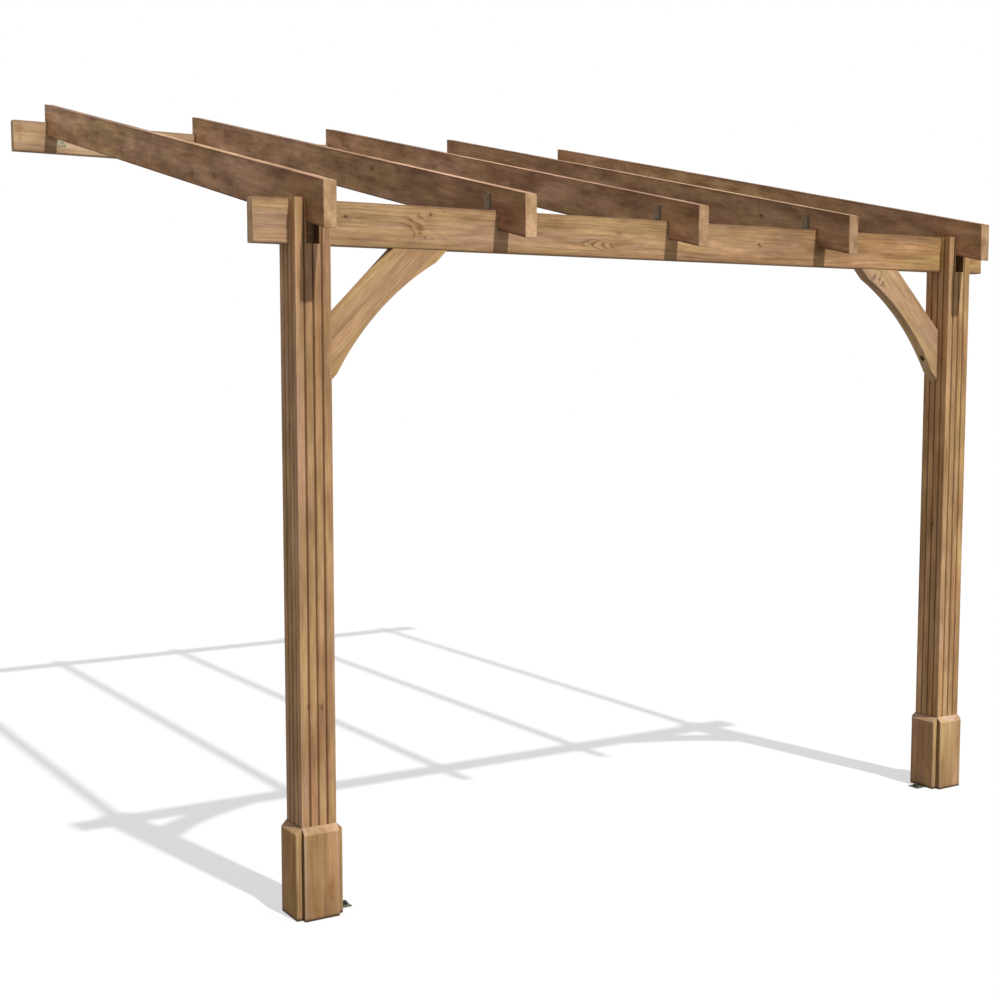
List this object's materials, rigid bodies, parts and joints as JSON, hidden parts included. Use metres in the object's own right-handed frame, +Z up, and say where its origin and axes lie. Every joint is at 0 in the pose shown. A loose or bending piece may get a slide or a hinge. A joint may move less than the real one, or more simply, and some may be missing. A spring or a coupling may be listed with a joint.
{
  "type": "lean-to timber pergola",
  "caption": "Lean-to timber pergola with grooved posts, curved braces and sloping rafters that run from a front beam up to a wall plate.",
  "frame": {"origin": "middle of the wall plate's back face, which bears on the wall; the ground is 2.82 m below it", "axes": "+X to the right along the front, +Y into the wall, +Z up"},
  "size_m": [3.24, 3.053, 2.9783],
  "materials": {
    "timber": "planed softwood, brown pressure-treated, sawn end grain",
    "galvanised": "dull galvanised steel"
  },
  "bodies": {
    "root": {"left_post": "timber", "right_post": "timber", "left_base_front": "timber", "left_base_back": "timber", "left_base_outer": "timber", "left_base_inner": "timber", "right_base_front": "timber", "right_base_back": "timber", "right_base_outer": "timber", "right_base_inner": "timber", "front_beam": "timber", "wall_plate": "timber", "rafter_1": "timber", "rafter_2": "timber", "rafter_3": "timber", "rafter_4": "timber", "rafter_5": "timber", "left_brace": "timber", "right_brace": "timber", "left_foot_bracket": "galvanised", "right_foot_bracket": "galvanised", "beam_clip_2": "galvanised", "beam_clip_3": "galvanised", "beam_clip_4": "galvanised", "plate_clip_1": "galvanised", "plate_clip_2": "galvanised", "plate_clip_3": "galvanised", "plate_clip_4": "galvanised", "plate_clip_5": "galvanised"}
  },
  "joints": []
}
